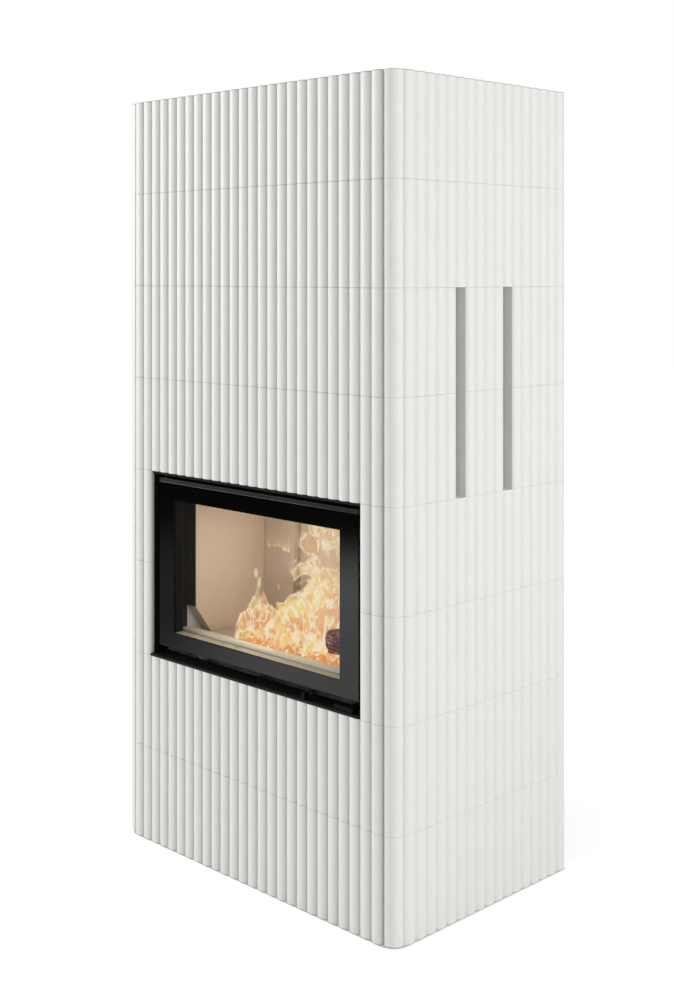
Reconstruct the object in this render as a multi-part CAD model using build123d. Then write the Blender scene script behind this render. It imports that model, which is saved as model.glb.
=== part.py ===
"""Tiled stove: reeded ceramic shell in eight courses round a steel wood-burning insert.

Millimetres. Z is up. The origin is on the floor, in the middle of the overall box. The front
with the door faces -Y. Courses are numbered from the floor.
"""

from build123d import *
from math import atan2, cos, degrees, dist, radians, sin
import os

os.makedirs("parts", exist_ok=True)

# ---- ceramic shell ----
course_count = 8
course_height = 200.0
reed_pitch = 28.6
reed_depth = 6.5
reed_facets = 4
front_reeds = 26
side_reeds = 17
corner_joint = 4.0  # open upright joint between the front tile and the corner
corner_run = 24.5  # the corner reed, along the front and along the side alike
corner_turn = 112.0  # how far the corner reed turns, in degrees
corner_reed_extra = 4.0  # the side reed next to the corner is wider by this
bed_joint = 1.2
bed_joint_depth = 3.0  # how far the bed joint runs in behind the grooves
tile_wall = 30.0  # from the groove to the back of the tile
door_course = 3
door_courses = 2
flank_reeds = 2
slot_course = 5
slot_courses = 2
slot_after_reeds = (5, 10)  # the slot takes the place of the next reed

# ---- carcass ----
base_thickness = 4.0
base_inset = 4.0
base_corner_radius = 36.0
fit_gap = 0.3  # between sheet pieces that are seated against each other
post_leg = 40.0
post_wall = 4.0
panel_wall = 2.0
panel_margin = 3.0
intake_height = 80.0
screw_head_width = 10.0
screw_head_height = 3.0
screw_rows = 4
top_plate_thickness = 20.0
top_plate_gap = 3.0
top_plate_drop = 6.0  # below the top edge of the tiles
pipe_socket_length = 60.0
pipe_radius = 73.0
socket_clearance = 0.5  # round the next length of 150 mm pipe
pipe_wall = 2.0
pipe_below_top = 4.0
pipe_before_casing_rear = 83.0
trim_plate_width = 200.0
trim_plate_thickness = 2.0
socket_hole_gap = 8.0  # hole in the top plate, all round the socket
shelf_above_slots = 40.0
shelf_thickness = 4.0
shelf_flange = 30.0
stone_width = 460.0
stone_depth = 300.0
stone_gap_above = 24.0
stone_pipe_gap = 4.0

# ---- opening frame ----
frame_gap = 0.5  # to the tiles on each side
frame_sheet = 3.0
frame_front_inset = 4.0  # behind the groove plane
sill_height = 5.0
sill_reach_inset = 0.6  # behind the crests of the reeds
head_height = 6.5
head_front_inset = 2.0

# ---- door ----
door_side_gap = 10.0
door_bottom_gap = 26.0
door_top_gap = 14.5
glass_inset = 9.0  # glass face behind the groove plane
glass_thickness = 4.0
glass_seal_thickness = 1.6
glass_seal_width = 12.0
top_rail_height = 8.0
bottom_rail_height = 2.0
leaf_inset = 2.0  # door frame's edge inside the glass's edge
leaf_depth = 21.5
window_side = 50.0
window_top = 33.5
window_bottom = 35.0
leaf_overlap = 5.0  # how far the leaf's opening stands back from the clear window
door_seal_width = 8.0
door_seal_inset = 11.0
door_seal_gap = 4.0
door_seal_crush = 0.1
hinge_inset = 10.0
hinge_behind_glass = 11.1
hinge_pin_radius = 4.0
hinge_run_gap = 0.05
hinge_pin_in_leaf = 20.0
hinge_shoulder_radius = 5.2
bracket_width = 24.0
bracket_thickness = 3.7
bracket_margin = 1.5
bracket_gap = 0.4

# ---- latch ----
latch_pin_radius = 3.0
latch_pin_height = 14.0
latch_pivot_inset = 16.0
latch_tab_height = 9.0
latch_shank_height = 5.5
latch_tab_length = 48.0
latch_tab_thickness = 10.0
latch_tip_thickness = 4.0
latch_above_sill = 1.5
latch_tab_past_pivot = 13.0
latch_front_inset = 2.0
latch_boss_radius = 6.0
latch_shank_width = 6.0
latch_hook_thickness = 5.0
keeper_thickness = 1.5
keeper_width = 12.0
keeper_overlap = 4.0
keeper_height = 29.0

# ---- insert ----
flange_thickness = 4.0
flange_above_frame_bottom = 20.0
flange_lip = 8.0
flange_sill = 4.0  # its opening starts this far above the hearth
casing_sheet = 4.0
smoke_space_height = 55.0
rear_channel = 14.0
liner_thickness = 30.0
liner_behind_flange = 15.0
liner_height = 350.0
liner_inside_leaf = 16.1  # beside the opening of the door's leaf
liner_corner_cut = 45.0
liner_corner_rise = 62.0
liner_gap = 0.3
hearth_above_sill_foot = 46.0
slab_thickness = 25.0
firebox_depth = 200.0
rear_side_panel_width = 97.0
rear_panel_slot = 8.0
rear_centre_recess = 12.0
rear_liner_thickness = 28.0
guard_depth = 22.0
guard_above_hearth = 14.0
guard_bevel = 4.0
baffle_thickness = 25.0
baffle_front_gap = 45.0
collar_gap = 0.3
collar_wall = 3.0
collar_height = 60.0
leg_width = 30.0
leg_wall = 2.5
leg_foot_width = 60.0
leg_foot_thickness = 4.0
leg_inset_x = 54.0
leg_inset_y = 34.0

# ---- combustion air ----
port_length = 50.0
port_width = 10.0
port_pitch = 100.0
port_count = 3
port_edge = 2.0
slide_gap = 0.3
slide_thickness = 3.4
slide_edge = 4.7
stem_width = 16.0
stem_x = 165.0
air_travel = 50.0
knob_width = 10.0
knob_depth = 14.0
knob_height = 12.5
knob_inset = 0.2
knob_above_sill = 1.5
knob_bevel = 1.5
air_box_half_width = 150.0
air_box_depth = 150.0
air_box_height = 108.0
air_box_wall = 2.0
spigot_radius = 50.5  # takes a 100 mm air duct
spigot_wall = 2.0
spigot_hole_gap = 1.0

# ---- planes worked out from the sizes above ----
front_tile_half = front_reeds * reed_pitch / 2
groove_half_width = front_tile_half + corner_joint + corner_run
shell_depth = reed_depth + corner_run + corner_reed_extra + side_reeds * reed_pitch
shell_bottom = base_thickness
shell_top = shell_bottom + course_count * course_height
crest_front = -shell_depth / 2
groove_front = crest_front + reed_depth
shell_rear = shell_depth / 2
tile_back_front = groove_front + tile_wall
tile_back_side = groove_half_width - tile_wall

opening_half = front_tile_half - flank_reeds * reed_pitch
opening_bottom = shell_bottom + (door_course - 1) * course_height
opening_top = opening_bottom + door_courses * course_height
frame_front = groove_front + frame_front_inset
frame_inner_half = opening_half - frame_gap - frame_sheet
sill_top = opening_bottom + sill_height

door_half = frame_inner_half - door_side_gap
door_bottom = opening_bottom + door_bottom_gap
door_top = opening_top - door_top_gap
glass_front = groove_front + glass_inset
glass_rear = glass_front + glass_thickness
glass_top = door_top - top_rail_height
leaf_front = glass_rear + glass_seal_thickness
leaf_rear = leaf_front + leaf_depth
leaf_half = door_half - leaf_inset
leaf_bottom = door_bottom + leaf_inset
window_half = door_half - window_side
window_low = door_bottom + window_bottom
window_high = glass_top - window_top
hole_half = window_half + leaf_overlap
hole_low = window_low - leaf_overlap
hole_high = window_high + leaf_overlap
hinge_x = -door_half + hinge_inset
hinge_y = glass_front + hinge_behind_glass

flange_front = leaf_rear + door_seal_gap
flange_rear = flange_front + flange_thickness
flange_bottom = opening_bottom + flange_above_frame_bottom
hearth_top = opening_bottom + hearth_above_sill_foot
casing_floor = hearth_top - slab_thickness
casing_bottom = casing_floor - casing_sheet
liner_half_width = hole_half - liner_inside_leaf
casing_inner_half = liner_half_width + liner_thickness + liner_gap
casing_outer_half = casing_inner_half + casing_sheet
liner_front = flange_rear + liner_behind_flange
rear_face = liner_front + firebox_depth
liner_top = hearth_top + liner_height
casing_top = liner_top + baffle_thickness + smoke_space_height
rear_centre_face = rear_face + rear_centre_recess
rear_liner_back = rear_centre_face + rear_liner_thickness
casing_inner_rear = rear_liner_back + rear_channel
casing_rear = casing_inner_rear + casing_sheet
slots_top = shell_bottom + (slot_course + slot_courses - 1) * course_height
shelf_bottom = slots_top + shelf_above_slots
top_plate_top = shell_top - top_plate_drop
top_plate_bottom = top_plate_top - top_plate_thickness
pipe_bottom = casing_top + casing_sheet + fit_gap
pipe_top = shell_top - pipe_below_top
pipe_outer = pipe_radius + pipe_wall
pipe_socket_radius = pipe_outer + socket_clearance
pipe_centre_y = casing_rear - pipe_before_casing_rear
socket_outer = pipe_socket_radius + pipe_wall
posts_front = tile_back_front + fit_gap
posts_side = tile_back_side - fit_gap
posts_rear = shell_rear - screw_head_height - panel_wall
panel_half = tile_back_side - panel_margin
slide_top = casing_bottom - slide_gap
slide_bottom = slide_top - slide_thickness
air_box_top = slide_bottom - slide_gap
port_y = casing_inner_rear - port_edge - port_width / 2


def block(x, y, z):
    """Box from its low and high corners, each given as a pair."""
    size = (x[1] - x[0], y[1] - y[0], z[1] - z[0])
    return Pos(x[0], y[0], z[0]) * Box(*size, align=(Align.MIN, Align.MIN, Align.MIN))


def upright(points, z):
    """Solid with this plan outline, from z[0] up to z[1]."""
    plan = make_face(Polyline(*points, close=True))
    return Pos(0, 0, z[0]) * extrude(plan, z[1] - z[0])


def rod(x, y, z, radius):
    return Pos(x, y, z[0]) * Cylinder(
        radius, z[1] - z[0], align=(Align.CENTER, Align.CENTER, Align.MIN)
    )


def tube(x, y, z, inner, outer):
    return rod(x, y, z, outer) - rod(x, y, z, inner)


def frame_ring(half, z, inner_half, inner_z, y):
    """Upright picture-frame ring facing the front."""
    hole = block((-inner_half, inner_half), y, inner_z)
    return block((-half, half), y, z) - hole


def save(shape, name):
    export_step(shape, f"parts/{name}.step")


# ---- reeded tiles ----
def half_turn_of_reed(width):
    """How far a reed this wide turns from its crest to its groove, in degrees."""
    return degrees(2 * atan2(2 * reed_depth, width))


degrees_per_facet = 2 * half_turn_of_reed(reed_pitch) / reed_facets


def arc(start, end, half_turn):
    """Points of an arc between two grooves; it bulges to the right of the way it runs."""
    start, end = Vector(*start), Vector(*end)
    chord = end - start
    along = chord.normalized()
    outward = Vector(along.Y, -along.X)
    radius = chord.length / 2 / sin(radians(half_turn))
    centre = (start + end) / 2 - outward * radius * cos(radians(half_turn))
    facets = max(round(2 * half_turn / degrees_per_facet), 2)
    turns = [radians(half_turn * (2 * i / facets - 1)) for i in range(facets)]
    points = [centre + along * radius * sin(t) + outward * radius * cos(t) for t in turns]
    return [(p.X, p.Y) for p in points]


def reed(start, end):
    """Points of one reed between two grooves."""
    return arc(start, end, half_turn_of_reed(dist(start, end)))


def front_reeds_outline(left, count):
    """Front tile's plan: reeds from the left groove, then the flat back."""
    grooves = [(left + i * reed_pitch, groove_front) for i in range(count + 1)]
    points = [p for a, b in zip(grooves, grooves[1:]) for p in reed(a, b)]
    right = grooves[-1][0]
    return points + [grooves[-1], (right, tile_back_front), (left, tile_back_front)]


def front_core_outline(left, count):
    right = left + count * reed_pitch
    core_front = groove_front + bed_joint_depth
    back = [(right, tile_back_front), (left, tile_back_front)]
    return [(left, core_front), (right, core_front)] + back


corner_start = (front_tile_half + corner_joint, groove_front)
corner_end = (groove_half_width, groove_front + corner_run)
corner_inside = tile_back_front + corner_joint


def side_groove(index):
    """Groove number 0 is the one at the corner reed."""
    y = corner_end[1] + index * reed_pitch
    return (groove_half_width, y + corner_reed_extra if index else y)


def side_back(first, last):
    """The plain inner edges of a side tile that runs from one groove to another."""
    points = [(tile_back_side, side_groove(last)[1])]
    if first:
        return points + [(tile_back_side, side_groove(first)[1])]
    points += [(tile_back_side, corner_inside), (corner_start[0], corner_inside)]
    return points


def side_reeds_outline(first, last):
    grooves = [side_groove(i) for i in range(first, last + 1)]
    points = [] if first else arc(corner_start, corner_end, corner_turn / 2)
    for a, b in zip(grooves, grooves[1:]):
        points += reed(a, b)
    return points + [grooves[-1]] + side_back(first, last)


def side_core_outline(first, last):
    core_side = groove_half_width - bed_joint_depth
    points = [(core_side, side_groove(i)[1]) for i in (first, last)]
    if not first:
        points = [(corner_start[0], groove_front + bed_joint_depth)] + points
    return points + side_back(first, last)


def tile(reeds, core, course):
    """Reeded face on a slightly taller core, so that a fine joint shows between courses."""
    low = shell_bottom + (course - 1) * course_height
    high = low + course_height
    face = upright(reeds, (low + bed_joint / 2, high - bed_joint / 2))
    return face + upright(core, (low, high))


for course in range(1, course_count + 1):
    in_door = door_course <= course < door_course + door_courses
    in_slots = slot_course <= course < slot_course + slot_courses
    if in_door:
        flank = tile(
            front_reeds_outline(opening_half, flank_reeds),
            front_core_outline(opening_half, flank_reeds),
            course,
        )
        save(flank, f"front_flank_{course}_right")
        save(mirror(flank, about=Plane.YZ), f"front_flank_{course}_left")
    else:
        outline = front_reeds_outline(-front_tile_half, front_reeds)
        core = front_core_outline(-front_tile_half, front_reeds)
        save(tile(outline, core, course), f"front_tile_{course}")
    slots = slot_after_reeds if in_slots else ()
    firsts = [0] + [slot + 1 for slot in slots]
    lasts = [slot for slot in slots] + [side_reeds]
    pieces = [
        tile(side_reeds_outline(a, b), side_core_outline(a, b), course)
        for a, b in zip(firsts, lasts)
    ]
    side = Compound(children=pieces) if len(pieces) > 1 else pieces[0]
    save(side, f"side_tile_{course}_right")
    save(mirror(side, about=Plane.YZ), f"side_tile_{course}_left")


# ---- carcass ----
def base_plate():
    half = groove_half_width + reed_depth - base_inset
    front = crest_front + base_inset
    plan = Pos(0, (front + shell_rear) / 2) * Rectangle(2 * half, shell_rear - front)
    plan = fillet(plan.vertices().group_by(Axis.Y)[0], base_corner_radius)
    return extrude(plan, base_thickness)


def corner_post(y_corner, y_way):
    """Right-hand steel angle whose outer corner is at y_corner; its legs run inwards."""
    y_end = y_corner + y_way * post_leg
    y_inner = y_corner + y_way * post_wall
    points = [
        (posts_side, y_corner),
        (posts_side, y_end),
        (posts_side - post_wall, y_end),
        (posts_side - post_wall, y_inner),
        (posts_side - post_leg, y_inner),
        (posts_side - post_leg, y_corner),
    ]
    return upright(points, (base_thickness, top_plate_bottom))


right_posts = [corner_post(posts_front, 1), corner_post(posts_rear, -1)]
left_posts = [mirror(post, about=Plane.YZ) for post in right_posts]
save(base_plate(), "base_plate")
save(Compound(children=right_posts + left_posts), "corner_posts")

spigot_z = air_box_top - air_box_height / 2
spigot_outer = spigot_radius + spigot_wall
panel_low = base_thickness + intake_height
panel_high = shell_top - panel_margin


def lengthwise_rod(z, y, radius):
    """Round bar along Y on the middle plane."""
    bar = Rot(-90, 0, 0) * Cylinder(
        radius, y[1] - y[0], align=(Align.CENTER, Align.CENTER, Align.MIN)
    )
    return Pos(0, y[0], z) * bar


def rear_panel():
    wall = (posts_rear, posts_rear + panel_wall)
    sheet = block((-panel_half, panel_half), wall, (panel_low, panel_high))
    return sheet - lengthwise_rod(spigot_z, wall, spigot_outer + spigot_hole_gap)


def panel_screws():
    """Hexagon heads down both posts."""
    head = extrude(RegularPolygon(screw_head_width / 2, 6), screw_head_height)
    rise = (panel_high - panel_low) / screw_rows
    places = [
        Pos(side * (posts_side - post_leg / 2), posts_rear + panel_wall, panel_low + rise * (i + 0.5))
        for side in (-1, 1)
        for i in range(screw_rows)
    ]
    return Compound(children=[place * (Rot(-90, 0, 0) * head) for place in places])


def top_plate():
    y = (tile_back_front + top_plate_gap, posts_rear - fit_gap)
    half = tile_back_side - top_plate_gap
    z = (top_plate_bottom, top_plate_top)
    return block((-half, half), y, z) - rod(0, pipe_centre_y, z, socket_outer + socket_hole_gap)


def flue_pipe():
    """Steel pipe, with a wider socket for the next length at its top end."""
    seat = pipe_top - pipe_socket_length
    socket = tube(0, pipe_centre_y, (seat - pipe_wall, pipe_top), pipe_socket_radius, socket_outer)
    seat_ring = tube(0, pipe_centre_y, (seat - pipe_wall, seat), pipe_radius, socket_outer)
    pipe = tube(0, pipe_centre_y, (pipe_bottom, seat - pipe_wall), pipe_radius, pipe_outer)
    return pipe + seat_ring + socket


save(rear_panel(), "rear_panel")
save(panel_screws(), "rear_panel_screws")
save(top_plate(), "top_plate")
save(flue_pipe(), "flue_pipe")


def flue_trim():
    """Square cover plate round the socket; it hides the hole in the top plate."""
    z = (top_plate_top, top_plate_top + trim_plate_thickness)
    half = trim_plate_width / 2
    plate = block((-half, half), (pipe_centre_y - half, pipe_centre_y + half), z)
    return plate - rod(0, pipe_centre_y, z, socket_outer + fit_gap)


save(flue_trim(), "flue_trim_plate")

# ---- heat store above the insert ----
pipe_hole = pipe_outer + stone_pipe_gap
shelf_top = shelf_bottom + shelf_thickness


def pipe_opening(z):
    """Square hole that the flue pipe goes up through."""
    y = (pipe_centre_y - pipe_hole, pipe_centre_y + pipe_hole)
    return block((-pipe_hole, pipe_hole), y, z)


def storage_shelf():
    """Plate between the four posts, with its sides folded down against them."""
    half = posts_side - post_wall - fit_gap
    y = (posts_front + post_wall + fit_gap, posts_rear - post_wall - fit_gap)
    shelf = block((-half, half), y, (shelf_bottom, shelf_top))
    for side in (-1, 1):
        inner, outer = side * (half - shelf_thickness), side * half
        fold = (min(inner, outer), max(inner, outer))
        shelf += block(fold, y, (shelf_bottom - shelf_flange, shelf_bottom))
    return shelf - pipe_opening((shelf_bottom, shelf_top))


def storage_stone(z):
    half = stone_width / 2
    y = (pipe_centre_y - stone_depth / 2, pipe_centre_y + stone_depth / 2)
    return block((-half, half), y, z) - pipe_opening(z)


stones_top = top_plate_bottom - stone_gap_above
stones_middle = (shelf_top + stones_top) / 2
save(storage_shelf(), "storage_shelf")
save(storage_stone((shelf_top, stones_middle)), "storage_stone_lower")
save(storage_stone((stones_middle, stones_top)), "storage_stone_upper")


# ---- insert ----
def insert_leg(x, y):
    """Square tube on a foot plate."""
    foot_top = base_thickness + leg_foot_thickness
    foot_half, half = leg_foot_width / 2, leg_width / 2
    bore = half - leg_wall
    foot = block(
        (x - foot_half, x + foot_half), (y - foot_half, y + foot_half), (base_thickness, foot_top)
    )
    leg = block((x - half, x + half), (y - half, y + half), (foot_top, casing_bottom))
    leg -= block((x - bore, x + bore), (y - bore, y + bore), (foot_top, casing_bottom))
    return foot + leg


flange_half = opening_half - frame_gap
flange_hole_half = casing_inner_half - flange_lip
flange_hole_z = (hearth_top + flange_sill, hole_high + flange_lip)


def firebox_casing():
    """Welded box: open on top under the hood, with a wide front flange round its opening."""
    flange_y = (flange_front, flange_rear)
    inside = (-casing_inner_half, casing_inner_half)
    box = block(
        (-casing_outer_half, casing_outer_half),
        (flange_front, casing_rear),
        (casing_bottom, casing_top),
    )
    box -= block(inside, (flange_rear, casing_inner_rear), (casing_floor, casing_top))
    box += block((-flange_half, flange_half), flange_y, (flange_bottom, opening_top))
    box -= block((-flange_hole_half, flange_hole_half), flange_y, flange_hole_z)
    return box - air_ports(0, (casing_bottom, casing_floor))


def air_ports(shift, z):
    """Row of port-shaped blocks, used to cut the floor and the slide."""
    half = port_length / 2
    centres = [(i - (port_count - 1) / 2) * port_pitch + shift for i in range(port_count)]
    y = (port_y - port_width / 2, port_y + port_width / 2)
    return [block((x - half, x + half), y, z) for x in centres]


def smoke_hood():
    outer = pipe_radius - collar_gap
    inner = outer - collar_wall
    plate_top = casing_top + casing_sheet
    half = casing_outer_half
    plate = block((-half, half), (flange_front, casing_rear), (casing_top, plate_top))
    collar = rod(0, pipe_centre_y, (casing_top, plate_top + collar_height), outer)
    bore = rod(0, pipe_centre_y, (casing_top, plate_top + collar_height), inner)
    return plate + collar - bore


leg_x = casing_outer_half - leg_inset_x
leg_rows = (flange_rear + leg_inset_y, casing_rear - leg_inset_y)
legs = [insert_leg(side * leg_x, y) for side in (-1, 1) for y in leg_rows]
save(Compound(children=legs), "insert_legs")
save(firebox_casing(), "firebox_casing")
save(smoke_hood(), "smoke_hood")


def surround_frame():
    """Black lining of the opening: folded head above, flat sill below, thin cheeks."""
    outer = opening_half - frame_gap
    inner_z = (opening_bottom + frame_sheet, opening_top - frame_sheet)
    z = (opening_bottom, opening_top)
    cheeks = frame_ring(outer, z, frame_inner_half, inner_z, (frame_front, flange_front))
    sill_y = (crest_front + sill_reach_inset, flange_front)
    sill = block((-outer, outer), sill_y, (opening_bottom, sill_top))
    head_y = (groove_front + head_front_inset, flange_front)
    return cheeks + sill + block((-outer, outer), head_y, (opening_top - head_height, opening_top))


save(surround_frame(), "surround_frame")


# ---- firebox lining ----
def along_x(points, x):
    """Solid with this outline in Y and Z, from x[0] to x[1]."""
    side = Plane.YZ * make_face(Polyline(*points, close=True))
    return Pos(x[0], 0, 0) * extrude(side, x[1] - x[0])


guard_rear = flange_rear + liner_gap + guard_depth
lining_half = liner_half_width + liner_thickness


def side_liner():
    """Right-hand panel; its lower front corner is cut away for the end of the log guard."""
    points = [
        (liner_front, hearth_top + liner_corner_rise),
        (liner_front + liner_corner_cut, hearth_top),
        (rear_face, hearth_top),
        (rear_face, liner_top),
        (liner_front, liner_top),
    ]
    return along_x(points, (liner_half_width, lining_half))


def rear_side_liner():
    x = (liner_half_width - rear_side_panel_width, lining_half)
    y = (rear_face, rear_face + rear_liner_thickness)
    return block(x, y, (hearth_top, liner_top))


def log_guard():
    top = hearth_top + guard_above_hearth
    front = guard_rear - guard_depth
    points = [
        (front, casing_floor),
        (guard_rear, casing_floor),
        (guard_rear, top),
        (front + guard_bevel, top),
        (front, top - guard_bevel),
    ]
    return along_x(points, (-lining_half, lining_half))


centre_half = liner_half_width - rear_side_panel_width - rear_panel_slot
centre_y = (rear_centre_face, rear_liner_back)
slab_y = (guard_rear + liner_gap, rear_liner_back)
baffle_y = (liner_front + baffle_front_gap, rear_liner_back)
save(block((-lining_half, lining_half), slab_y, (casing_floor, hearth_top)), "hearth_slab")
save(side_liner(), "side_liner_right")
save(mirror(side_liner(), about=Plane.YZ), "side_liner_left")
save(rear_side_liner(), "rear_liner_right")
save(mirror(rear_side_liner(), about=Plane.YZ), "rear_liner_left")
save(block((-centre_half, centre_half), centre_y, (hearth_top, liner_top)), "rear_liner_centre")
baffle_z = (liner_top, liner_top + baffle_thickness)
save(block((-lining_half, lining_half), baffle_y, baffle_z), "smoke_baffle")
save(log_guard(), "log_guard")

# ---- door ----
leaf_top = door_top - leaf_inset
latch_x = door_half - latch_pivot_inset
latch_y = leaf_front + leaf_depth / 2


def door_frame():
    leaf = frame_ring(
        leaf_half, (leaf_bottom, leaf_top), hole_half, (hole_low, hole_high), (leaf_front, leaf_rear)
    )
    bore = hinge_pin_radius + hinge_run_gap
    leaf -= rod(hinge_x, hinge_y, (leaf_bottom, leaf_bottom + hinge_pin_in_leaf), bore)
    leaf -= rod(hinge_x, hinge_y, (leaf_top - hinge_pin_in_leaf, leaf_top), bore)
    latch_bore = latch_pin_radius + hinge_run_gap
    return leaf - rod(latch_x, latch_y, (leaf_bottom, leaf_bottom + latch_pin_height), latch_bore)


def seal_ring(inset, width, z, y):
    """Flat ring that follows the leaf's outer edge at this inset."""
    outer = leaf_half - inset
    outer_z = (z[0] + inset, z[1] - inset)
    inner_z = (outer_z[0] + width, outer_z[1] - width)
    return frame_ring(outer, outer_z, outer - width, inner_z, y)


glass_y = (glass_front, glass_rear)
rail_y = (glass_front, leaf_front)
rail_bottom = door_bottom - bottom_rail_height
save(door_frame(), "door_frame")
save(block((-door_half, door_half), glass_y, (door_bottom, glass_top)), "door_glass")
glass_seal = seal_ring(leaf_inset, glass_seal_width, (leaf_bottom, glass_top), (glass_rear, leaf_front))
save(glass_seal, "glass_gasket")
rails = [
    block((-door_half, door_half), rail_y, (glass_top, door_top)),
    block((-door_half, door_half), rail_y, (rail_bottom, door_bottom)),
]
save(Compound(children=rails), "glass_rails")
seal_y = (leaf_rear, flange_front - door_seal_crush)
door_seal = seal_ring(door_seal_inset, door_seal_width, (leaf_bottom, leaf_top), seal_y)
save(door_seal, "door_gasket")

# ---- hinges ----
lower_bracket_z = (rail_bottom - liner_gap - bracket_thickness, rail_bottom - liner_gap)
upper_bracket_z = (door_top + bracket_gap, door_top + bracket_gap + bracket_thickness)


def hinge_bracket(z, bore):
    """Tongue that stands forward from the flange and holds a pin."""
    x = (hinge_x - bracket_width / 2, hinge_x + bracket_width / 2)
    y = (hinge_y - hinge_shoulder_radius - bracket_margin, flange_front)
    return block(x, y, z) - rod(hinge_x, hinge_y, z, bore)


def lower_pin():
    """Stepped pin; the door stands on its wider part."""
    shoulder_top = leaf_bottom - liner_gap
    shoulder = rod(hinge_x, hinge_y, (lower_bracket_z[0], shoulder_top), hinge_shoulder_radius)
    pin_z = (shoulder_top, leaf_bottom + hinge_pin_in_leaf - liner_gap)
    return shoulder + rod(hinge_x, hinge_y, pin_z, hinge_pin_radius)


def upper_pin():
    z = (leaf_top - hinge_pin_in_leaf + liner_gap, upper_bracket_z[1])
    return rod(hinge_x, hinge_y, z, hinge_pin_radius)


lower_bracket = hinge_bracket(lower_bracket_z, hinge_shoulder_radius)
upper_bracket = hinge_bracket(upper_bracket_z, hinge_pin_radius)
save(Compound(children=[lower_bracket, upper_bracket]), "hinge_brackets")
save(Compound(children=[lower_pin(), upper_pin()]), "hinge_pins")

# ---- latch ----
latch_low = sill_top + latch_above_sill
keeper_y = (flange_rear, flange_rear + keeper_thickness)
hook_front = keeper_y[1] + liner_gap
hook_rear = hook_front + latch_hook_thickness
keeper_left = latch_x + liner_gap


def door_latch():
    """Tapered finger tab, turned on a pin under the leaf, with a hook behind the keeper."""
    tab_right = latch_x + latch_tab_past_pivot
    tab_left = tab_right - latch_tab_length
    tab_front = crest_front + latch_front_inset
    tab = [
        (tab_left, tab_front),
        (tab_right, tab_front),
        (tab_right, tab_front + latch_tab_thickness),
        (tab_left, tab_front + latch_tip_thickness),
    ]
    tab_z = (latch_low, latch_low + latch_tab_height)
    shank_z = (latch_low, latch_low + latch_shank_height)
    boss = latch_boss_radius
    arm_y = (tab_front + latch_tip_thickness, latch_y)
    latch = upright(tab, tab_z) + block((latch_x - boss, latch_x + boss), arm_y, tab_z)
    latch += rod(latch_x, latch_y, tab_z, boss)
    pin_top = leaf_bottom + latch_pin_height - liner_gap
    latch += rod(latch_x, latch_y, (latch_low, pin_top), latch_pin_radius)
    shank_left = latch_x - latch_shank_width
    latch += block((shank_left, latch_x), (latch_y, hook_rear), shank_z)
    hook_x = (shank_left, keeper_left + keeper_overlap)
    return latch + block(hook_x, (hook_front, hook_rear), shank_z)


keeper_z = (latch_low, latch_low + keeper_height)
save(door_latch(), "door_latch")
keeper = block((keeper_left, keeper_left + keeper_width), keeper_y, keeper_z)
save(keeper, "latch_keeper")

# ---- combustion air ----
slide_z = (slide_bottom, slide_top)
slide_y = (port_y - port_width / 2 - slide_edge, port_y + port_width / 2 + slide_edge)
knob_front = crest_front + knob_inset
port_reach = (port_count - 1) / 2 * port_pitch + port_length / 2


def air_slide():
    """Ported strip under the casing floor, with a long stem to the front."""
    strip = (-port_reach - slide_edge, port_reach + air_travel + slide_edge)
    stem = (stem_x - stem_width / 2, stem_x + stem_width / 2)
    slide = block(strip, slide_y, slide_z) - air_ports(0, slide_z)
    return slide + block(stem, (knob_front + knob_depth, slide_y[1]), slide_z)


def air_lever():
    low = sill_top + knob_above_sill
    x = (stem_x - knob_width / 2, stem_x + knob_width / 2)
    knob = block(x, (knob_front, knob_front + knob_depth), (low, low + knob_height))
    return chamfer(knob.edges().filter_by(Axis.Z).group_by(Axis.Y)[0], knob_bevel)


def air_box():
    """Folded tray under the casing floor, with room for the slide and its stem, and a spigot."""
    half = air_box_half_width
    y = (casing_rear - air_box_depth, casing_rear)
    bottom = air_box_top - air_box_height
    wall = air_box_wall
    box = block((-half, half), y, (bottom, casing_bottom))
    inside = block(
        (wall - half, half - wall), (y[0] + wall, y[1] - wall), (bottom + wall, casing_bottom)
    )
    above_rim = (air_box_top, casing_bottom)
    slide_room = (slide_y[0] - liner_gap, slide_y[1] + liner_gap)
    stem_room = (stem_x - air_travel - stem_width / 2 - liner_gap, half)
    box -= block((-half, half), slide_room, above_rim)
    box -= block(stem_room, (y[0], slide_y[1]), above_rim)
    box += lengthwise_rod(spigot_z, (y[1], shell_rear), spigot_outer)
    return box - inside - lengthwise_rod(spigot_z, (y[1] - wall, shell_rear), spigot_radius)


save(air_slide(), "air_slide")
save(air_lever(), "air_lever")
save(air_box(), "air_box")
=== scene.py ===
import math
import random

import bpy
from mathutils import Matrix, Vector


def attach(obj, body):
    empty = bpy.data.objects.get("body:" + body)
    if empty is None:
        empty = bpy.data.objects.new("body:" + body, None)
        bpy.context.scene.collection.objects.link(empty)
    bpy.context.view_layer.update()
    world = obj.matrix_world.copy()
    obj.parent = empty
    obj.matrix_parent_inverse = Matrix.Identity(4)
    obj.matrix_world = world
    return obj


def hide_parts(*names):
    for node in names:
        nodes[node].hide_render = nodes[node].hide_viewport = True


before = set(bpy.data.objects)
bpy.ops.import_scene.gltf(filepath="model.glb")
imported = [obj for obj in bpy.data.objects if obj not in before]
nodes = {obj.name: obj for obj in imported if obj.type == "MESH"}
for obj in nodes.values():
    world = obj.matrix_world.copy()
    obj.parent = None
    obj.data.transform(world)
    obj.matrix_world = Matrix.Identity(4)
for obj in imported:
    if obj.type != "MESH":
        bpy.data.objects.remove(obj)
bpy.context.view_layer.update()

scene = bpy.context.scene
for cad_node in nodes.values():
    cad_node.select_set(False)
    cad_node.data.materials.clear()

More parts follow.
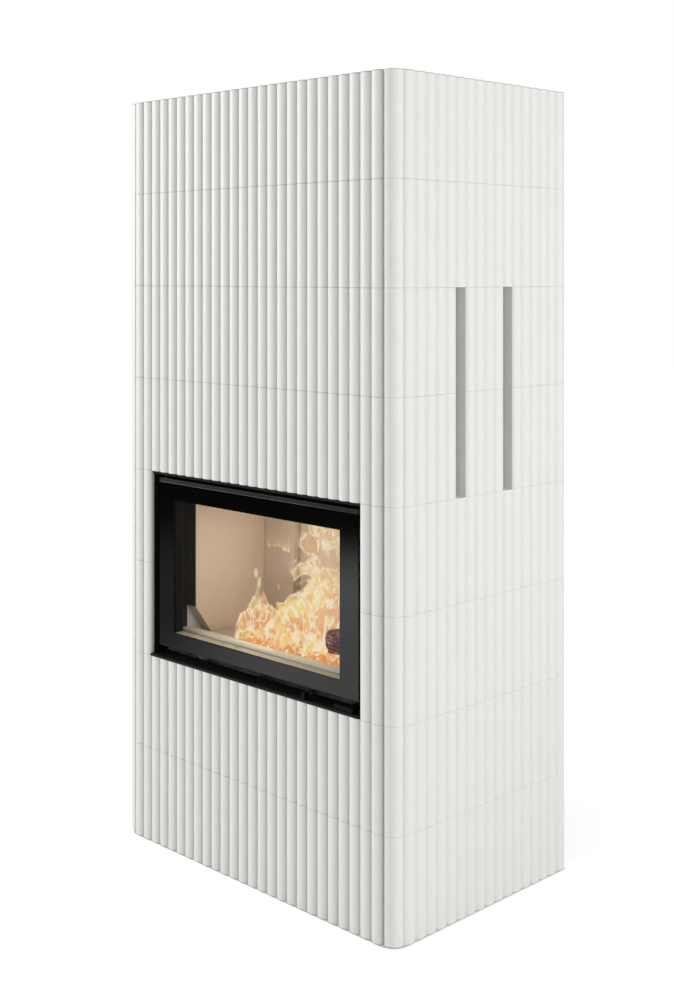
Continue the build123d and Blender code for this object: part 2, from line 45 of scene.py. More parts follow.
# The room: a pale floor that runs out into white, and a camera level with the stove's upper
# third, turned to show the door side and the right side. Its view is shifted down instead of
# being tilted, so that the uprights of the stove stay upright.
lens_mm = 51.415
camera_data = bpy.data.cameras.new("photo_camera")
camera_data.sensor_width = 36.0
camera_data.lens = lens_mm
camera_data.shift_y = -0.2262
camera_data.clip_end = 60.0
camera = bpy.data.objects.new("photo_camera", camera_data)
scene.collection.objects.link(camera)
camera.location = (2.163, -2.1531, 1.2298)
looking = Vector((-0.7091, 0.7051, 0.0))
camera.rotation_euler = looking.to_track_quat("-Z", "Y").to_euler()
scene.camera = camera
scene.view_settings.view_transform = "Standard"


class Value:
    """A shader socket that takes part in Python sums."""

    def __init__(self, finish, socket):
        self.finish = finish
        self.socket = socket

    def math(self, operation, other=0.0, swapped=False):
        pair = (other, self) if swapped else (self, other)
        sockets = {"Value": pair[0], "Value_001": pair[1]}
        return self.finish.add("ShaderNodeMath", {"operation": operation}, sockets)["Value"]

    def __add__(self, other):
        return self.math("ADD", other)

    __radd__ = __add__

    def __sub__(self, other):
        return self.math("SUBTRACT", other)

    def __rsub__(self, other):
        return self.math("SUBTRACT", other, swapped=True)

    def __mul__(self, other):
        return self.math("MULTIPLY", other)

    __rmul__ = __mul__

    def __truediv__(self, other):
        return self.math("DIVIDE", other)

    def __pow__(self, other):
        return self.math("POWER", other)

    def __abs__(self):
        return self.math("ABSOLUTE")

    def least(self, other):
        return self.math("MINIMUM", other)

    def most(self, other):
        return self.math("MAXIMUM", other)

    def ramp(self, low, high):
        """0 below low, 1 above high, and a soft step between."""
        sockets = {"Value": self, "From Min": low, "From Max": high}
        settings = {"interpolation_type": "SMOOTHSTEP", "clamp": True}
        return self.finish.add("ShaderNodeMapRange", settings, sockets)["Result"]


class Finish:
    """A material round one Principled shader; add() makes every other node."""

    def __init__(self, name, **constants):
        self.material = bpy.data.materials.new(name)
        self.material.use_nodes = True
        self.tree = self.material.node_tree
        self.shader = self.tree.nodes["Principled BSDF"]
        for socket, value in constants.items():
            self.shader.inputs[socket.replace("_", " ")].default_value = value
        self.place = self.add("ShaderNodeTexCoord")["Object"]

    def add(self, kind, settings=None, sockets=None):
        node = self.tree.nodes.new(kind)
        for name, value in (settings or {}).items():
            setattr(node, name, value)
        wanted = {socket.identifier: socket for socket in node.inputs}
        for name, value in (sockets or {}).items():
            self.feed(wanted[name], value)
        return {socket.identifier: Value(self, socket) for socket in node.outputs}

    def feed(self, socket, value):
        if isinstance(value, Value):
            self.tree.links.new(value.socket, socket)
        else:
            socket.default_value = value

    def axes(self, place=None):
        """X, Y and Z of a place, as numbers."""
        split = self.add("ShaderNodeSeparateXYZ", None, {"Vector": place or self.place})
        return split["X"], split["Y"], split["Z"]

    def stretched(self, factors):
        sockets = {"Vector": self.place, "Vector_001": factors}
        return self.add("ShaderNodeVectorMath", {"operation": "MULTIPLY"}, sockets)["Vector"]

    def noise(self, scale, detail=2.0, roughness=0.5, distortion=0.0, place=None):
        sockets = {
            "Vector": place or self.place,
            "Scale": scale,
            "Detail": detail,
            "Roughness": roughness,
            "Distortion": distortion,
        }
        return self.add("ShaderNodeTexNoise", None, sockets)["Fac"]

    def mix(self, factor, one, other):
        sockets = {"Factor_Float": factor, "A_Color": one, "B_Color": other}
        settings = {"data_type": "RGBA", "clamp_factor": True}
        return self.add("ShaderNodeMix", settings, sockets)["Result_Color"]

    def bump(self, height, distance, strength):
        sockets = {"Height": height, "Distance": distance, "Strength": strength}
        self.paint(Normal=self.add("ShaderNodeBump", None, sockets)["Normal"])

    def paint(self, **sockets):
        for name, value in sockets.items():
            self.feed(self.shader.inputs[name.replace("_", " ")], value)


def grey(level, warmth=0.0):
    """Colour of this lightness; warmth takes a little blue out of it."""
    return (level, level * (1.0 - warmth * 0.4), level * (1.0 - warmth), 1.0)


floor_reach = 14.0
bpy.ops.object.select_all(action="DESELECT")
bpy.ops.mesh.primitive_plane_add(size=2 * floor_reach, location=(0.0, 0.0, 0.0))
floor = bpy.context.object
floor.name = "studio_floor"
bpy.ops.object.mode_set(mode="EDIT")
bpy.ops.mesh.subdivide(number_cuts=3)
bpy.ops.object.mode_set(mode="OBJECT")
floor_paint = Finish("floor_paint", Roughness=0.85, Specular_IOR_Level=0.1)
floor_x, floor_y = floor_paint.axes()[:2]
distance = (floor_x * floor_x + floor_y * floor_y) ** 0.5
seen = floor_paint.add("ShaderNodeLightPath")
# The floor's colour in reflections is painted: the black glass shows a painted pool of light
# at the right, fading to dark towards the left and far in front. For bounce light the floor is
# painted a quarter darker.
to_left = floor_y * 0.7 - floor_x
painted_light_across = 1.0 - to_left.ramp(0.10, 0.88) * 0.88 - to_left.ramp(0.88, 1.6) * 0.08
painted_light = painted_light_across * (1.0 - (0.0 - floor_y).ramp(2.2, 3.3)) * 0.95
far = distance.ramp(0.8, 4.0)
glow = seen["Is Camera Ray"] * (far * 0.3 + 0.42)
darker = seen["Is Glossy Ray"] * (1.0 - painted_light) + seen["Is Diffuse Ray"] * 0.25
floor_paint.paint(
    Base_Color=floor_paint.mix(darker, grey(0.93), grey(0.0)),
    Emission_Color=floor_paint.mix(glow, grey(0.0), grey(1.0)),
    Emission_Strength=1.0,
)
floor.data.materials.append(floor_paint.material)

world = bpy.data.worlds.new("studio_world")
scene.world = world
world.use_nodes = True
world_tree = world.node_tree
background = world_tree.nodes["Background"]
path = world_tree.nodes.new("ShaderNodeLightPath")
sky = grey(0.50)
for ray, colour in (("Is Glossy Ray", grey(0.02)), ("Is Camera Ray", grey(1.0))):
    choice = world_tree.nodes.new("ShaderNodeMix")
    choice.data_type = "RGBA"
    ends = {socket.identifier: socket for socket in choice.inputs}
    world_tree.links.new(path.outputs[ray], ends["Factor_Float"])
    if isinstance(sky, tuple):
        ends["A_Color"].default_value = sky
    else:
        world_tree.links.new(sky, ends["A_Color"])
    ends["B_Color"].default_value = colour
    sky = next(socket for socket in choice.outputs if socket.identifier == "Result_Color")
world_tree.links.new(sky, background.inputs["Color"])


def soft_box(name, place, aim, width, height, watts):
    data = bpy.data.lights.new(name, "AREA")
    data.shape = "RECTANGLE"
    data.size = width
    data.size_y = height
    data.energy = watts
    light = bpy.data.objects.new(name, data)
    scene.collection.objects.link(light)
    light.location = place
    towards = Vector(aim) - Vector(place)
    light.rotation_euler = towards.to_track_quat("-Z", "Y").to_euler()


soft_box("left_soft_box", (-3.5, -2.5, 1.9), (0.0, -0.1, 0.7), 2.0, 2.2, 100.0)
soft_box("right_soft_box", (3.8, 0.9, 1.3), (0.2, 0.0, 0.8), 1.8, 3.0, 57.0)
soft_box("camera_side_soft_box", (3.2, -2.8, 1.9), (0.2, -0.1, 0.8), 1.6, 1.8, 18.0)
soft_box("overhead_soft_box", (-0.4, -0.6, 4.2), (0.0, 0.0, 0.8), 2.4, 2.4, 22.0)


# The base plate: flat steel sheet, painted grey, on which the tiles of the first course stand.
# It is cut a little smaller than the tiles, so that only its thin edge shows at the floor.
def dressed(node, body, material, width, name=None, segments=2):
    """A copy of a CAD node with eased edges, which then stands for the node."""
    bpy.ops.object.select_all(action="DESELECT")
    piece = bpy.data.objects.new(name or node + "_eased", nodes[node].data.copy())
    scene.collection.objects.link(piece)
    piece.select_set(True)
    bpy.context.view_layer.objects.active = piece
    bpy.ops.object.mode_set(mode="EDIT")
    bpy.ops.mesh.select_all(action="SELECT")
    bpy.ops.mesh.remove_doubles(threshold=0.000001)
    bpy.ops.mesh.dissolve_limited(angle_limit=math.radians(1.0))
    bpy.ops.object.mode_set(mode="OBJECT")
    bevel = piece.modifiers.new("eased_edges", "BEVEL")
    bevel.width = width
    bevel.segments = segments
    bevel.limit_method = "ANGLE"
    bevel.angle_limit = math.radians(40.0)
    bpy.ops.object.modifier_apply(modifier=bevel.name)
    bpy.ops.object.shade_smooth_by_angle(angle=math.radians(35.0))
    flat_faces = piece.modifiers.new("flat_faces", "WEIGHTED_NORMAL")
    flat_faces.keep_sharp = True
    bpy.ops.object.modifier_apply(modifier=flat_faces.name)
    piece.data.materials.clear()
    piece.data.materials.append(material)
    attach(piece, body)
    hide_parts(node)


def sheet_steel(name, colour, roughness, mottle=0.12, grain=900.0):
    """Painted sheet with a fine grain, a slow mottle and rubbed patches."""
    steel = Finish(name, Metallic=0.0)
    slow = steel.noise(7.0, detail=4.0, roughness=0.6)
    fine = steel.noise(grain, detail=1.0)
    rubbed = steel.noise(26.0, detail=5.0, roughness=0.7).ramp(0.56, 0.72)
    darker = tuple(channel * (1.0 - mottle) for channel in colour[:3]) + (1.0,)
    lighter = tuple(channel * (1.0 + mottle) for channel in colour[:3]) + (1.0,)
    steel.paint(
        Base_Color=steel.mix(slow * 0.8 + fine * 0.2, darker, lighter),
        Roughness=roughness + (slow - 0.5) * 0.16 - rubbed * 0.08,
    )
    steel.bump(fine + slow * 0.5, 0.00004, 0.5)
    return steel.material


base_paint = sheet_steel("base_plate_paint", grey(0.60), 0.5)
dressed("base_plate", "stove", base_paint, 0.0004)

# The tiles: pressed clay shells about 30 mm thick with upright round reeds on the face, fired
# with a thick white glaze. Their rims are rounded by the glaze and meet in a fine open joint.
reed_pitch = 0.0286
reed_depth = 0.0065
round_steps = 56  # straight pieces in a full circle of a reed
front_grooves = -0.2541
side_grooves = 0.4003
front_half = 0.3718
tile_back_front = -0.2241
tile_back_side = 0.3703
flank_left = 0.3146
corner_start = Vector((0.3758, -0.2541, 0.0))
corner_end = Vector((0.4003, -0.2296, 0.0))
corner_round = 0.0209
step_x, step_y = 0.3865, -0.2425  # the core is stepped here, to stay inside the corner
corner_core_side = 0.3955
corner_reed_extra = 0.004  # the side reed next to the corner is wider by this
front_reed_count = 26
flank_reed_count = 2
side_reed_count = 17
slot_reeds = (5, 10)  # the slots take the place of these reeds, counted from the corner
courses = 8
door_courses = (3, 4)
slotted_courses = (5, 6)
course = 0.2
first_course_at = 0.004
tile_top = first_course_at + courses * course
joint = 0.00022
rim_round = 0.0005
face_root = 0.004  # how far the reeded face runs in behind the grooves
core_root = 0.003
weld = 0.0003  # points nearer than this are one point

glaze = Finish("white_glaze", IOR=1.45, Coat_Roughness=0.3, Coat_IOR=1.4)
gx, gy, gz = glaze.axes()
course_number = ((gz - first_course_at) / course).math("FLOOR")
per_tile = glaze.add(
    "ShaderNodeTexWhiteNoise", {"noise_dimensions": "1D"}, {"W": course_number}
)["Value"]
cloud = glaze.noise(3.2, detail=3.0, roughness=0.55)
orange_peel = glaze.noise(420.0, detail=1.0)
ripple = glaze.noise(38.0, detail=2.0, place=glaze.stretched((1.0, 1.0, 0.35)))
in_course = ((gz - first_course_at) / course).math("FRACT")
to_rim = in_course.least(1.0 - in_course) * course
near_rim = 1.0 - to_rim.ramp(0.0002, 0.0014)
from_middle = abs(gx)
on_front = 1.0 - from_middle.ramp(front_half - 0.0002, front_half)
groove_depth = ((gy - (front_grooves - reed_depth)) / reed_depth).most(0.0).least(1.0)
at_corner_groove = 1.0 - abs(gy - corner_end.y).ramp(0.0, 0.0045)
at_corner_groove = at_corner_groove * from_middle.ramp(0.388, 0.396)
joint_wall = gx.ramp(front_half - 0.0001, front_half) * (1.0 - gx.ramp(0.3735, 0.3745))
top_edge = (gz - (tile_top - 0.0024)).ramp(0.0, 0.0010)
side_depth = ((side_grooves + reed_depth - from_middle) / reed_depth).most(0.0).least(1.0)
side_depth = side_depth * from_middle.ramp(0.396, 0.398) * (gy - corner_end.y).ramp(0.0, 0.004)
# Painted shade darkens the glaze in the grooves (far more on the front than on the sides), in
# the groove next to the corner, in the upright joint on the right, along the rims of each
# course (more on the front) and as a dark line along the top edge.
painted_shade = on_front * groove_depth * groove_depth * 0.50 + at_corner_groove * 0.16
painted_shade = painted_shade + side_depth * side_depth * 0.07
painted_shade = painted_shade + joint_wall * 0.45 + top_edge * 0.45 + near_rim * (on_front * 0.16 + 0.04)
glaze_tone = (per_tile - 0.5) * 0.08 + (cloud - 0.5) * 0.6 + 0.5
glaze.paint(
    Base_Color=glaze.mix(
        painted_shade,
        glaze.mix(glaze_tone, (0.850, 0.858, 0.815, 1.0), (0.880, 0.886, 0.848, 1.0)),
        (0.20, 0.20, 0.19, 1.0),
    ),
    Roughness=0.52 + (cloud - 0.5) * 0.10 + near_rim * 0.10,
    Coat_Weight=0.12 - near_rim * 0.1,
)
glaze.bump(orange_peel * 0.12 + ripple * 0.9, 0.00022, 0.45)

biscuit = Finish("slip_coated_clay", Roughness=0.7)
clay_grain = biscuit.noise(260.0, detail=4.0, roughness=0.7)
# Painted light: the clay is painted lighter the further it lies behind the side face, so the
# slot walls look brighter deep in.
painted_light_deep_in = 1.0 - abs(biscuit.axes()[0]).ramp(0.372, 0.402)
biscuit.paint(
    Base_Color=biscuit.mix(
        painted_light_deep_in * 0.8 + clay_grain * 0.2, (0.86, 0.858, 0.835, 1.0), (0.97, 0.968, 0.95, 1.0)
    )
)
biscuit.bump(clay_grain, 0.00015, 0.5)


def reed_line(centre, radius, on_cut, outward, count=1, step=(0.0, 0.0, 0.0)):
    """Plan line of reeds: a circle cut along the groove plane, then repeated."""
    bpy.ops.object.select_all(action="DESELECT")
    bpy.ops.mesh.primitive_circle_add(vertices=round_steps, radius=radius, location=centre)
    line = bpy.context.object
    bpy.ops.object.transform_apply(location=True, rotation=False, scale=False)
    bpy.ops.object.mode_set(mode="EDIT")
    bpy.ops.mesh.select_all(action="SELECT")
    bpy.ops.mesh.bisect(plane_co=on_cut, plane_no=outward, clear_inner=True)
    bpy.ops.object.mode_set(mode="OBJECT")
    repeat = line.modifiers.new("reeds", "ARRAY")
    repeat.count = count
    repeat.use_relative_offset = False
    repeat.use_constant_offset = True
    repeat.constant_offset_displace = step
    repeat.use_merge_vertices = True
    repeat.merge_threshold = weld
    bpy.ops.object.modifier_apply(modifier=repeat.name)
    return line


def reeds(groove, along, outward, count=1, width=reed_pitch):
    """A row of equal reeds, from this groove on."""
    radius = width**2 / (8 * reed_depth) + reed_depth / 2
    centre = groove + along * width / 2 - outward * (radius - reed_depth)
    return reed_line(centre, radius, groove, outward, count, along * width)


def front_reeds(left, count):
    groove = Vector((left, front_grooves, 0.0))
    return reeds(groove, Vector((1.0, 0.0, 0.0)), Vector((0.0, -1.0, 0.0)), count)


def side_groove(index):
    """Groove number 0 is the one at the corner."""
    y = corner_end.y + index * reed_pitch
    return y + corner_reed_extra if index else y


def side_reeds(first, last):
    """Lines of the reeds between two grooves of a side."""
    back, right = Vector((0.0, 1.0, 0.0)), Vector((1.0, 0.0, 0.0))
    lines = []
    if first == 0:
        lines = [reeds(corner_end, back, right, width=reed_pitch + corner_reed_extra)]
        first = 1
    groove = Vector((side_grooves, side_groove(first), 0.0))
    return lines + [reeds(groove, back, right, last - first)]


def corner_arc():
    across = corner_end - corner_start
    outward = Vector((across.y, -across.x, 0.0)).normalized()
    behind = math.sqrt(corner_round**2 - across.length_squared / 4)
    centre = (corner_start + corner_end) / 2 - outward * behind
    return reed_line(centre, corner_round, corner_start, outward)


def pressed(lines, back, name):
    """Closes reed lines with the back points into a plan and raises it by one course."""
    bpy.ops.object.select_all(action="DESELECT")
    for line in lines:
        line.select_set(True)
    face = lines[0]
    bpy.context.view_layer.objects.active = face
    if len(lines) > 1:
        bpy.ops.object.join()
    face.name = name
    start = Vector((back[0][0], back[0][1], 0.0))
    nearest = min(face.data.vertices, key=lambda corner: (corner.co - start).length)
    for edge in face.data.edges:
        edge.select = False
    for corner in face.data.vertices:
        corner.select = corner.index == nearest.index
    bpy.ops.object.mode_set(mode="EDIT")
    for one, other in zip(back, back[1:]):
        move = (other[0] - one[0], other[1] - one[1], 0.0)
        bpy.ops.mesh.extrude_region_move(TRANSFORM_OT_translate={"value": move})
    bpy.ops.mesh.select_all(action="SELECT")
    bpy.ops.mesh.remove_doubles(threshold=weld)
    bpy.ops.mesh.edge_face_add()
    rise = course - joint
    bpy.ops.mesh.extrude_region_move(TRANSFORM_OT_translate={"value": (0.0, 0.0, rise)})
    bpy.ops.mesh.select_all(action="SELECT")
    bpy.ops.mesh.normals_make_consistent(inside=False)
    bpy.ops.mesh.select_all(action="DESELECT")
    bpy.ops.object.mode_set(mode="OBJECT")
    corners = face.data.vertices
    behind = [Vector((x, y)) for x, y in back[1:-1]]

    def on_reeds(corner):
        return all((corner.co.xy - point).length > rim_round for point in behind)

    for edge in face.data.edges:
        one, other = corners[edge.vertices[0]], corners[edge.vertices[1]]
        level = abs(one.co.z - other.co.z) < 0.0001
        edge.select = level and on_reeds(one) and on_reeds(other)
    bpy.ops.object.mode_set(mode="EDIT")
    bpy.ops.mesh.select_mode(type="EDGE")
    bpy.ops.mesh.bevel(offset=rim_round, segments=2, affect="EDGES", clamp_overlap=True)
    bpy.ops.mesh.select_mode(type="VERT")
    bpy.ops.object.mode_set(mode="OBJECT")
    # Only the reeds are smooth: a smooth rim would shade the whole height of the tile.
    bpy.ops.object.shade_smooth_by_angle(angle=math.radians(12.0))
    face.data.materials.append(glaze.material)
    return face


def clay_slab(x, y):
    """The plain body of a tile behind its reeds, a full course high."""
    bpy.ops.object.select_all(action="DESELECT")
    centre = ((x[0] + x[1]) / 2, (y[0] + y[1]) / 2, (course - joint) / 2)
    bpy.ops.mesh.primitive_cube_add(size=1.0, location=centre)
    slab = bpy.context.object
    slab.scale = (x[1] - x[0], y[1] - y[0], course)
    bpy.ops.object.transform_apply(location=True, rotation=False, scale=True)
    slab.data.materials.append(biscuit.material)
    return slab


def joined(pieces):
    bpy.ops.object.select_all(action="DESELECT")
    for piece in pieces:
        piece.select_set(True)
    bpy.context.view_layer.objects.active = pieces[0]
    if len(pieces) > 1:
        bpy.ops.object.join()
    bpy.ops.object.transform_apply(location=True, rotation=False, scale=False)
    return pieces[0]


def front_tile(left, count):
    right = left + count * reed_pitch
    root = front_grooves + face_root
    back = [(right, front_grooves), (right, root), (left, root), (left, front_grooves)]
    face = pressed([front_reeds(left, count)], back, "front_face")
    slab = clay_slab((left, right), (front_grooves + core_root, tile_back_front))
    return joined([face, slab])


def side_tile(first, last):
    """Part of a right-hand side tile; the first part turns the corner."""
    start, end = side_groove(first), side_groove(last)
    root = side_grooves - face_root
    slab_x = (tile_back_side, side_grooves - core_root)
    if first:
        back = [(side_grooves, end), (root, end), (root, start), (side_grooves, start)]
        face = pressed(side_reeds(first, last), back, "side_face")
        return joined([face, clay_slab(slab_x, (start, end))])
    turn_in = (corner_start.x, corner_start.y + face_root)
    back = [(side_grooves, end), (root, end), (root, start), turn_in, tuple(corner_start.xy)]
    face = pressed(side_reeds(0, last) + [corner_arc()], back, "corner_face")
    slab = clay_slab(slab_x, (start, end))
    front_root = corner_start.y + core_root
    front_slab = clay_slab((corner_start.x, step_x), (front_root, start))
    side_slab = clay_slab((step_x, corner_core_side), (step_y, start))
    return joined([face, slab, front_slab, side_slab])


def lay(pattern, name, node, course_of_tile, mirrored=False):
    """Sets a copy of a tile in its course, on the left instead if it is mirrored."""
    laid = bpy.data.objects.new(name, pattern.data.copy())
    scene.collection.objects.link(laid)
    rise = first_course_at + (course_of_tile - 1) * course + joint / 2
    laid.data.transform(Matrix.Translation((0.0, 0.0, rise)))
    if mirrored:
        laid.data.transform(Matrix.Scale(-1.0, 4, (1.0, 0.0, 0.0)))
        laid.data.flip_normals()
    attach(laid, "stove")
    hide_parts(node)


full_front = front_tile(-front_half, front_reed_count)
flank = front_tile(flank_left, flank_reed_count)
plain_side = side_tile(0, side_reed_count)
before_slots = side_tile(0, slot_reeds[0])
between_slots = side_tile(slot_reeds[0] + 1, slot_reeds[1])
behind_slots = side_tile(slot_reeds[1] + 1, side_reed_count)
slotted_side = joined([before_slots, between_slots, behind_slots])
for number in range(1, courses + 1):
    if number in door_courses:
        lay(flank, f"flank_tile_{number}_right", f"front_flank_{number}_right", number)
        lay(flank, f"flank_tile_{number}_left", f"front_flank_{number}_left", number, True)
    else:
        lay(full_front, f"front_reeded_tile_{number}", f"front_tile_{number}", number)
    side = slotted_side if number in slotted_courses else plain_side
    lay(side, f"side_reeded_tile_{number}_right", f"side_tile_{number}_right", number)
    lay(side, f"side_reeded_tile_{number}_left", f"side_tile_{number}_left", number, True)
for pattern in (full_front, flank, plain_side, slotted_side):
    bpy.data.objects.remove(pattern)

# The carcass: four angle irons stand on the base plate and carry a cast top plate. The tiles
# are tied to them. A painted sheet closes the back, screwed to the two rear irons.
galvanised = Finish("galvanised_steel", Metallic=0.85)
spangle = galvanised.add(
    "ShaderNodeTexVoronoi", {"feature": "F1"}, {"Vector": galvanised.place, "Scale": 130.0}
)["Distance"]
zinc_cloud = galvanised.noise(12.0, detail=4.0)
galvanised.paint(
    Base_Color=galvanised.mix(spangle * 0.9 + zinc_cloud * 0.4, grey(0.36), grey(0.62)),
    Roughness=0.34 + spangle * 0.2 + zinc_cloud * 0.1,
)
galvanised.bump(spangle, 0.00003, 0.5)
dressed("corner_posts", "stove", galvanised.material, 0.0005)

rear_paint = sheet_steel("rear_panel_paint", grey(0.55, 0.03), 0.55)
dressed("rear_panel", "stove", rear_paint, 0.0003)

zinc = Finish("screw_zinc", Metallic=0.95)
turned = zinc.noise(700.0, detail=2.0, place=zinc.stretched((1.0, 0.05, 1.0)))
zinc.paint(Base_Color=zinc.mix(turned, grey(0.5), grey(0.74)), Roughness=0.24 + turned * 0.2)
zinc.bump(turned, 0.00002, 0.6)
dressed("rear_panel_screws", "stove", zinc.material, 0.0006)

cast_stone = Finish("cast_top_plate", Roughness=0.85)
chips = cast_stone.add(
    "ShaderNodeTexVoronoi", {"feature": "F1"}, {"Vector": cast_stone.place, "Scale": 190.0}
)["Distance"]
stone_cloud = cast_stone.noise(9.0, detail=5.0, roughness=0.6)
pinholes = 1.0 - chips.ramp(0.05, 0.16)
cast_stone.paint(
    Base_Color=cast_stone.mix(
        pinholes * 0.5,
        cast_stone.mix(stone_cloud, grey(0.66, 0.08), grey(0.78, 0.06)),
        grey(0.45, 0.1),
    ),
)
cast_stone.bump(stone_cloud * 0.6 - pinholes * 0.6, 0.0005, 0.7)
dressed("top_plate", "stove", cast_stone.material, 0.0015)

# The flue: a black steel pipe from the smoke hood up to a socket just under the top edge of
# the tiles. A square cover plate, folded from the same black sheet, hides the hole round it.
flue_black = sheet_steel("flue_black", grey(0.022), 0.62, mottle=0.35, grain=1400.0)
dressed("flue_pipe", "stove", flue_black, 0.0005)
dressed("flue_trim_plate", "stove", flue_black, 0.0005)

# The heat store: two cast stones with a square hole for the pipe, laid on a folded steel
# shelf that is held between the four angle irons.
store_stone = Finish("storage_stone", Roughness=0.9)
grains = store_stone.noise(320.0, detail=3.0, roughness=0.7)
blotches = store_stone.noise(14.0, detail=4.0)
store_stone.paint(
    Base_Color=store_stone.mix(grains * 0.6 + blotches * 0.4, grey(0.28, 0.08), grey(0.5, 0.1))
)
store_stone.bump(grains, 0.0008, 0.8)
dressed("storage_stone_lower", "stove", store_stone.material, 0.003)
dressed("storage_stone_upper", "stove", store_stone.material, 0.003)
dressed("storage_shelf", "stove", galvanised.material, 0.0006)

# The insert: a box welded from 4 mm steel on four legs, with a wide front flange and a
# loose hood on top. Grey heat-proof paint inside; black on the flange and on the box mouth.
insert_paint = Finish("insert_paint", Metallic=0.0, Specular_IOR_Level=0.1)
iy, iz = insert_paint.axes()[1:]
black_back_to = -0.1932
heat = insert_paint.noise(9.0, detail=5.0, roughness=0.6)
paint_grain = insert_paint.noise(1100.0, detail=1.0)
behind_flange = (iy - black_back_to).ramp(0.0, 0.0006)
soot = (0.50 - iz).ramp(0.0, 0.06) * 0.3 + (iz - 0.72).ramp(0.0, 0.09) * 0.5
flange_black = insert_paint.mix(heat, grey(0.006), grey(0.012))
inside_grey = insert_paint.mix(
    soot + heat * 0.3, (0.70, 0.70, 0.69, 1.0), (0.24, 0.24, 0.235, 1.0)
)
insert_paint.paint(
    Base_Color=insert_paint.mix(behind_flange, flange_black, inside_grey),
    Roughness=0.55 + heat * 0.2,
)
insert_paint.bump(paint_grain + heat * 0.6, 0.00006, 0.6)
dressed("firebox_casing", "stove", insert_paint.material, 0.0006)
dressed("smoke_hood", "stove", insert_paint.material, 0.0006)
dressed("insert_legs", "stove", galvanised.material, 0.0005)

# The opening frame: folded 3 mm sheet with a thick flat sill and head bar, powder-coated
# satin black. It lines the cut in the tiles, and the sill ends flush with the reeds.
frame_black = Finish("frame_powder_coat", Metallic=0.0, IOR=1.35)
powder = frame_black.noise(1500.0, detail=1.0)
dust = frame_black.noise(45.0, detail=5.0, roughness=0.7).ramp(0.52, 0.8)
frame_black.paint(
    Base_Color=frame_black.mix(dust * 0.5, grey(0.004), grey(0.010)),
    Roughness=0.55 + powder * 0.1 + dust * 0.12,
)
frame_black.bump(powder, 0.00003, 0.7)
dressed("surround_frame", "stove", frame_black.material, 0.0008, segments=3)

# The firebox lining: loose boards of pressed vermiculite, pale buff with small flakes, stood
# on a slab hearth and held by their own weight. Smoke darkens them a little near the baffle.
board = Finish("vermiculite_board", Roughness=0.92)
bx, by, bz = board.axes()
flakes = board.add(
    "ShaderNodeTexVoronoi", {"feature": "F1"}, {"Vector": board.place, "Scale": 330.0}
)["Distance"]
board_cloud = board.noise(6.0, detail=5.0, roughness=0.6)
flake_tone = board.noise(420.0, detail=3.0, roughness=0.75)
licked = (bz - 0.66).ramp(0.0, 0.16) * 0.35 + (0.475 - bz).ramp(0.0, 0.03) * 0.35
board_base = board.mix(flake_tone, (0.46, 0.395, 0.325, 1.0), (0.58, 0.505, 0.425, 1.0))
licked_base = board.mix(
    (licked * board_cloud * 1.3).least(1.0), board_base, (0.36, 0.28, 0.20, 1.0)
)
# The front edges of the side liners are painted near black.
liner_front = -0.1936
liner_from = 0.2385
on_rim = 1.0 - (by - liner_front).ramp(0.0, 0.0004)
front_rim = on_rim * abs(bx).ramp(liner_from, liner_from + 0.0005)
board.paint(Base_Color=board.mix(front_rim, licked_base, (0.017, 0.016, 0.015, 1.0)))
board.bump(flakes * 0.7 + board_cloud, 0.0006, 0.7)
for side in ("left", "right"):
    dressed(f"side_liner_{side}", "stove", board.material, 0.0012)
    dressed(f"rear_liner_{side}", "stove", board.material, 0.0012)
dressed("rear_liner_centre", "stove", board.material, 0.0012)
dressed("smoke_baffle", "stove", board.material, 0.0012)
dressed("hearth_slab", "stove", board.material, 0.0012)

guard_stone = Finish("log_guard_stone", Roughness=0.8)
guard_grain = guard_stone.noise(380.0, detail=3.0, roughness=0.7)
guard_cloud = guard_stone.noise(11.0, detail=4.0)
guard_tone = guard_grain * 0.5 + guard_cloud * 0.5
guard_stone.paint(
    Base_Color=guard_stone.mix(guard_tone, (0.52, 0.49, 0.385, 1.0), (0.66, 0.63, 0.51, 1.0))
)
guard_stone.bump(guard_grain, 0.0004, 0.6)
dressed("log_guard", "stove", guard_stone.material, 0.0015, segments=3)

# The fire: three split logs, charred and glowing, on a bed of embers that fills the middle and
# the right of the hearth. The flames over them are dense below and fray into wisps above.
random.seed(11)
fire_middle = (0.040, -0.105)
fire_spread = (0.165, 0.064)
lump_count = 110
hearth_top = 0.45

char = Finish("charred_log", Roughness=0.9)
char_noise = char.noise(60.0, detail=5.0, roughness=0.65, distortion=0.4)
along_grain = char.stretched((0.35, 1.0, 1.0))
char_split = char.noise(38.0, detail=3.0, distortion=1.6, place=along_grain)
lit_crack = (1.0 - (abs(char_split - 0.5) * 26.0).least(1.0)) * char_noise.ramp(0.40, 0.62)
char.paint(
    Base_Color=char.mix(char_noise, (0.020, 0.016, 0.024, 1.0), (0.13, 0.105, 0.15, 1.0)),
    Emission_Color=char.mix(lit_crack, (0.02, 0.004, 0.004, 1.0), (0.95, 0.24, 0.06, 1.0)),
    Emission_Strength=1.0,
)
char.bump(char_split + char_noise, 0.003, 0.9)

ember = Finish("glowing_embers", Roughness=0.95)
ember_noise = ember.noise(95.0, detail=4.0, roughness=0.6)
hottest = ember_noise.ramp(0.48, 0.62)
hot_glow = ember.mix(hottest, (0.95, 0.42, 0.13, 1.0), (1.0, 0.80, 0.46, 1.0))
ember.paint(
    Base_Color=ember.mix(ember_noise, (0.03, 0.025, 0.025, 1.0), (0.12, 0.10, 0.09, 1.0)),
    Emission_Color=ember.mix(ember_noise.ramp(0.36, 0.66), (0.80, 0.28, 0.07, 1.0), hot_glow),
    Emission_Strength=1.0,
)
ember.bump(ember_noise, 0.003, 0.9)


